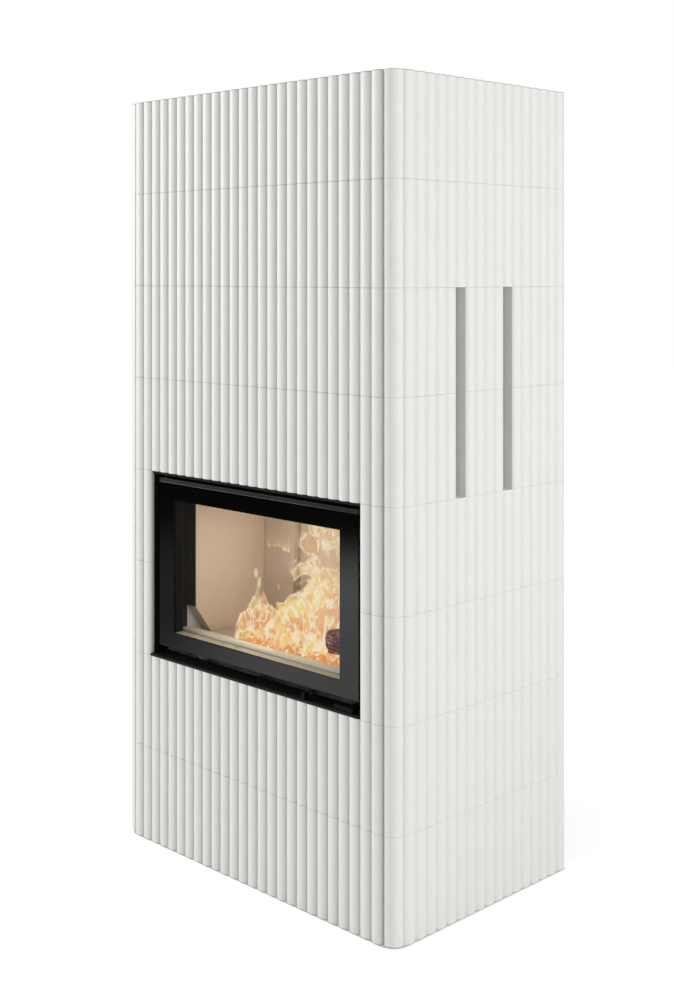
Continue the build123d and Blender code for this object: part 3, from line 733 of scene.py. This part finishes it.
def cloud_texture(name, size):
    """Blender's own cloud pattern, for the Displace modifier."""
    clouds = bpy.data.textures.new(name, "CLOUDS")
    clouds.noise_scale = size
    clouds.noise_depth = 2
    return clouds


def displaced(piece, texture, strength, direction="NORMAL"):
    roughen = piece.modifiers.new("roughened", "DISPLACE")
    roughen.texture = texture
    roughen.texture_coords = "GLOBAL"
    roughen.strength = strength
    roughen.mid_level = 0.5
    roughen.direction = direction
    bpy.ops.object.modifier_apply(modifier=roughen.name)


bark = cloud_texture("split_wood", 0.03)


def split_log(name, middle, length, radius, turn, tilt):
    """A charred log, from a cylinder with bevelled edges and a rough surface."""
    bpy.ops.object.select_all(action="DESELECT")
    bpy.ops.mesh.primitive_cylinder_add(vertices=14, radius=radius, depth=length)
    log = bpy.context.object
    log.name = name
    log.location = middle
    log.rotation_euler = (math.radians(90.0 + tilt), 0.0, math.radians(turn))
    bpy.ops.object.transform_apply(location=True, rotation=True, scale=True)
    bpy.ops.object.mode_set(mode="EDIT")
    bpy.ops.mesh.select_all(action="SELECT")
    bpy.ops.mesh.bevel(offset=radius * 0.18, segments=2, affect="EDGES")
    bpy.ops.mesh.select_all(action="SELECT")
    bpy.ops.mesh.subdivide(number_cuts=5)
    bpy.ops.object.mode_set(mode="OBJECT")
    displaced(log, bark, radius * 0.7)
    bpy.ops.object.shade_smooth_by_angle(angle=math.radians(50.0))
    log.data.materials.append(char.material)
    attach(log, "stove")


split_log("burning_log_rear", (0.03, -0.050, hearth_top + 0.030), 0.25, 0.026, 86.0, 2.0)
split_log("burning_log_front", (0.180, -0.125, hearth_top + 0.044), 0.13, 0.026, 97.0, -3.0)
split_log("burning_log_top", (0.130, -0.085, hearth_top + 0.058), 0.13, 0.022, 78.0, 3.0)

lump_texture = cloud_texture("ember_lumps", 0.012)
lumps = []
for number in range(lump_count):
    lump_x = fire_middle[0] + fire_spread[0] * random.uniform(-1.0, 1.0)
    lump_y = fire_middle[1] + fire_spread[1] * random.uniform(-1.0, 1.0)
    size = random.uniform(0.006, 0.013)
    bpy.ops.object.select_all(action="DESELECT")
    bpy.ops.mesh.primitive_ico_sphere_add(
        subdivisions=2, radius=size, location=(lump_x, lump_y, hearth_top + size * 0.7)
    )
    lump = bpy.context.object
    lump.scale = [random.uniform(*limits) for limits in ((0.9, 1.5), (0.8, 1.2), (0.6, 0.9))]
    lump.rotation_euler = (0.0, 0.0, random.uniform(0.0, math.pi))
    bpy.ops.object.transform_apply(location=True, rotation=True, scale=True)
    displaced(lump, lump_texture, size * 0.8)
    lumps.append(lump)
embers = joined(lumps)
embers.name = "ember_bed"
bpy.ops.object.shade_smooth_by_angle(angle=math.radians(60.0))
embers.data.materials.append(ember.material)
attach(embers, "stove")

flame = Finish("flame_sheet", Base_Color=grey(0.0), Roughness=1.0, Specular_IOR_Level=0.0)
uv = flame.add("ShaderNodeUVMap")["UV"]
across, up = flame.axes(uv)[:2]
lateral = abs(across * 2.0 - 1.0)
rising = flame.stretched((1.0, 1.0, 0.46))
billow = flame.noise(13.0, detail=3.0, roughness=0.5, distortion=1.2, place=rising)
thread = flame.noise(26.0, detail=2.0, roughness=0.45, distortion=2.2, place=rising)
patch = flame.noise(21.0, detail=3.0, roughness=0.55, distortion=0.8)
flame_x, _, flame_z = flame.axes()
risen = flame_z - hearth_top
# The thick of the fire is taller at the right, and wisps leave it upwards.
mass_top = (flame_x + 0.10).ramp(0.0, 0.20) * 0.065 + 0.080
mass = 1.0 - (risen / mass_top).ramp(0.65, 1.35)
shape = (billow - 0.5) * 1.9 + mass * 0.42 - lateral * lateral * 0.30 + 0.24
shape = shape + flame_x.ramp(-0.01, 0.04) * 0.24
body = shape.ramp(0.34, 0.50)
rims = (1.0 - (abs(shape - 0.44) * 11.0).least(1.0)).most(
    (1.0 - (abs(shape - 0.66) * 8.0).least(1.0)) * 0.7
)
threads = 1.0 - (abs(thread - 0.5) * 12.0).least(1.0)
# A sheet fades out towards its edges, and a flame casts no shadow.
kept = (1.0 - lateral.ramp(0.72, 1.0)) * (1.0 - up.ramp(0.82, 1.0)) * up.ramp(0.0, 0.04)
kept = kept * (1.0 - flame.add("ShaderNodeLightPath")["Is Shadow Ray"])
density = body * (0.26 + mass * 0.62) + rims * (0.42 - mass * 0.12) + threads * body * 0.36
veil = flame.mix(patch.ramp(0.42, 0.60), (0.88, 0.50, 0.25, 1.0), (0.96, 0.68, 0.23, 1.0))
deep = (1.0 - risen.ramp(0.0, 0.11)) * (1.0 - patch).ramp(0.40, 0.58) * 0.75
orange_or_yellow = flame.mix(deep, veil, (0.80, 0.25, 0.05, 1.0))
cream = (rims * 0.55 + threads * 0.55 + (patch - 0.5) * 0.6).ramp(0.15, 0.80)
flame.paint(
    Alpha=(density * kept).least(0.94),
    Emission_Color=flame.mix(cream, orange_or_yellow, (1.0, 0.86, 0.60, 1.0)),
    Emission_Strength=1.0,
)
flame_texture = cloud_texture("flame_wander", 0.08)
flame_taper = -0.20


def flame_sheet(name, place, width, height, turn, lean, twist):
    """A tapered, twisted sheet that wanders as it rises."""
    bpy.ops.object.select_all(action="DESELECT")
    bpy.ops.mesh.primitive_grid_add(x_subdivisions=10, y_subdivisions=26, size=1.0)
    sheet = bpy.context.object
    sheet.name = name
    sheet.scale = (width, height, 1.0)
    sheet.rotation_euler = (math.radians(90.0), 0.0, 0.0)
    bpy.ops.object.transform_apply(location=True, rotation=True, scale=True)
    deforms = (
        ("TAPER", "Z", "factor", flame_taper),
        ("TWIST", "Z", "angle", math.radians(twist)),
        ("BEND", "Y", "angle", math.radians(lean)),
    )
    for method, axis, measure, amount in deforms:
        deform = sheet.modifiers.new(method.lower(), "SIMPLE_DEFORM")
        deform.deform_method = method
        deform.deform_axis = axis
        setattr(deform, measure, amount)
        bpy.ops.object.modifier_apply(modifier=deform.name)
    sheet.rotation_euler = (0.0, 0.0, math.radians(turn))
    sheet.location = (place[0], place[1], place[2] + height / 2)
    bpy.ops.object.transform_apply(location=True, rotation=True, scale=True)
    displaced(sheet, flame_texture, 0.035, "X")
    displaced(sheet, flame_texture, -0.025, "Y")
    bpy.ops.object.shade_smooth_by_angle(angle=math.radians(80.0))
    sheet.data.materials.append(flame.material)
    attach(sheet, "stove")


# Each row: how far in front it stands, where its sheets are, their width and their heights.
flame_rows = (
    (-0.150, (-0.100, -0.035, 0.035, 0.105), 0.088, (0.14, 0.15, 0.16, 0.17)),
    (-0.110, (-0.085, -0.010, 0.065, 0.140), 0.105, (0.22, 0.22, 0.37, 0.34)),
    (-0.065, (0.030, 0.125), 0.125, (0.37, 0.35)),
)
number = 0
for row_y, row_x, width, heights in flame_rows:
    for sheet_x, height in zip(row_x, heights):
        number += 1
        flame_sheet(
            f"flame_{number:02d}",
            (sheet_x, row_y + random.uniform(-0.008, 0.008), hearth_top + 0.002),
            width * random.uniform(0.9, 1.1),
            height,
            random.uniform(33.0, 57.0),
            random.uniform(-15.0, 15.0),
            random.uniform(-25.0, 25.0),
        )

fire_data = bpy.data.lights.new("fire_glow", "POINT")
fire_data.energy = 2.0
fire_data.shadow_soft_size = 0.11
fire_data.color = (1.0, 0.84, 0.68)
fire_light = bpy.data.objects.new("fire_glow", fire_data)
scene.collection.objects.link(fire_light)
fire_light.location = (0.00, -0.14, 0.63)

# The door: a welded leaf of black tube with a sheet of ceramic glass laid over all of it. The
# glass is printed black round the window and is held by two grey rails, and by a fibre strip.
door_black = Finish("door_steel", Metallic=0.0, IOR=1.35, Specular_IOR_Level=0.03)
door_x, _, door_z = door_black.axes()
door_powder = door_black.noise(1300.0, detail=1.0)
handled = door_black.noise(30.0, detail=5.0, roughness=0.7).ramp(0.5, 0.75)
# Fine ash lies on the lower edge of the leaf's window.
ledge_z = 0.4605
ledge_half = 0.2545
on_ledge = 1.0 - abs(door_z - ledge_z).ramp(0.0008, 0.0012)
ledge = on_ledge * (1.0 - abs(door_x).ramp(ledge_half, ledge_half + 0.001))
ash = ledge * door_black.noise(60.0, detail=4.0).ramp(0.15, 0.40)
clean = door_black.mix(handled * 0.6, grey(0.003), grey(0.006))
door_black.paint(
    Base_Color=door_black.mix(ash, clean, (0.42, 0.39, 0.31, 1.0)),
    Roughness=0.58 + door_powder * 0.1 - handled * 0.1,
)
door_black.bump(door_powder, 0.00004, 0.6)
dressed("door_frame", "door", door_black.material, 0.0008, segments=3)

window_half = 0.2511
window_z = (0.461, 0.745)
glass = Finish("printed_ceramic_glass", IOR=1.50, Metallic=0.0)
px, _, pz = glass.axes()
window_middle = (window_z[0] + window_z[1]) / 2
out_x = abs(px) - window_half
out_z = abs(pz - window_middle) - (window_z[1] - window_middle)
from_window = out_x.most(out_z)
printed = from_window.ramp(-0.0002, 0.0003)
inset = 0.0 - from_window
haze_noise = glass.noise(14.0, detail=5.0, roughness=0.65)
haze = (1.0 - inset.ramp(0.0, 0.045)) * haze_noise * 0.06
streaks = glass.noise(9.0, detail=4.0, place=glass.stretched((3.0, 1.0, 0.3)))
smears = glass.noise(5.0, detail=6.0, roughness=0.7)
glass.paint(
    Base_Color=glass.mix(printed, (0.045, 0.040, 0.034, 1.0), grey(0.0025)),
    Alpha=(printed + (1.0 - printed) * (haze + 0.07 + streaks * 0.02)).least(1.0),
    Roughness=0.035 + smears * 0.05,
)
glass.bump(haze_noise, 0.00001, 0.3)
dressed("door_glass", "door", glass.material, 0.0008, segments=3)

rail_paint = Finish("glass_rail_anodised", Metallic=0.25, Specular_IOR_Level=0.3)
drawn = rail_paint.noise(900.0, detail=2.0, place=rail_paint.stretched((0.02, 1.0, 1.0)))
rail_paint.paint(
    Base_Color=rail_paint.mix(drawn, grey(0.008), grey(0.015)), Roughness=0.5 + drawn * 0.14
)
rail_paint.bump(drawn, 0.00003, 0.6)
dressed("glass_rails", "door", rail_paint.material, 0.0008, segments=3)

rope = Finish("braided_glass_fibre", Roughness=0.9, Sheen_Weight=0.3)
rx, _, rz = rope.axes()
strands = 1250.0
one_way = ((rx + rz) * strands).math("SINE")
other_way = ((rx - rz) * strands).math("SINE")
braid = one_way.most(other_way) * 0.5 + 0.5
fibres = rope.noise(1800.0, detail=2.0, place=rope.stretched((1.0, 1.0, 0.4)))
rope.paint(Base_Color=rope.mix(braid * 0.6 + fibres * 0.4, grey(0.012, 0.1), grey(0.075, 0.1)))
rope.bump(braid + fibres * 0.5, 0.0006, 0.9)
dressed("door_gasket", "door", rope.material, 0.0019, name="door_rope_seal", segments=5)
dressed("glass_gasket", "door", rope.material, 0.0006, name="glass_fibre_strip", segments=3)

# The hinges: two tongues welded to the flange hold turned steel pins. The leaf stands on the
# shoulder of the lower pin, and both pins are bright and oiled.
dressed("hinge_brackets", "stove", door_black.material, 0.0006)
pin_steel = Finish("bright_steel", Metallic=1.0)
lathe = pin_steel.noise(1500.0, detail=2.0, place=pin_steel.stretched((0.05, 0.05, 1.0)))
oil = pin_steel.noise(60.0, detail=3.0)
pin_steel.paint(
    Base_Color=pin_steel.mix(lathe * 0.6 + oil * 0.4, grey(0.42), grey(0.66)),
    Roughness=0.22 + oil * 0.2,
)
pin_steel.bump(lathe, 0.00002, 0.7)
dressed("hinge_pins", "stove", pin_steel.material, 0.0003)

# The latch: a flat steel handle under the glass swings a short hook behind a leaf spring on
# the flange. The spring snaps over the hook as the door is pushed to.
latch_black = Finish("latch_powder_coat", Metallic=0.0, IOR=1.35, Specular_IOR_Level=0.2)
latch_grain = latch_black.noise(1300.0, detail=1.0)
fingered = latch_black.noise(70.0, detail=5.0, roughness=0.7).ramp(0.48, 0.72)
latch_black.paint(
    Base_Color=latch_black.mix(fingered, grey(0.003), grey(0.008)),
    Roughness=0.50 + latch_grain * 0.1 - fingered * 0.12,
)
latch_black.bump(latch_grain, 0.00003, 0.7)
dressed("door_latch", "latch", latch_black.material, 0.0010, segments=3)
nodes["latch_keeper"].data.materials.append(pin_steel.material)

# Combustion air: a box under the firebox takes outside air in at the back. A ported slide on
# its lid meters the air, and a black lever at the sill moves it from side to side.
dressed("air_box", "stove", galvanised.material, 0.0005)
dressed("air_slide", "air_control", pin_steel.material, 0.0003)
dressed("air_lever", "air_control", latch_black.material, 0.0012, segments=3)
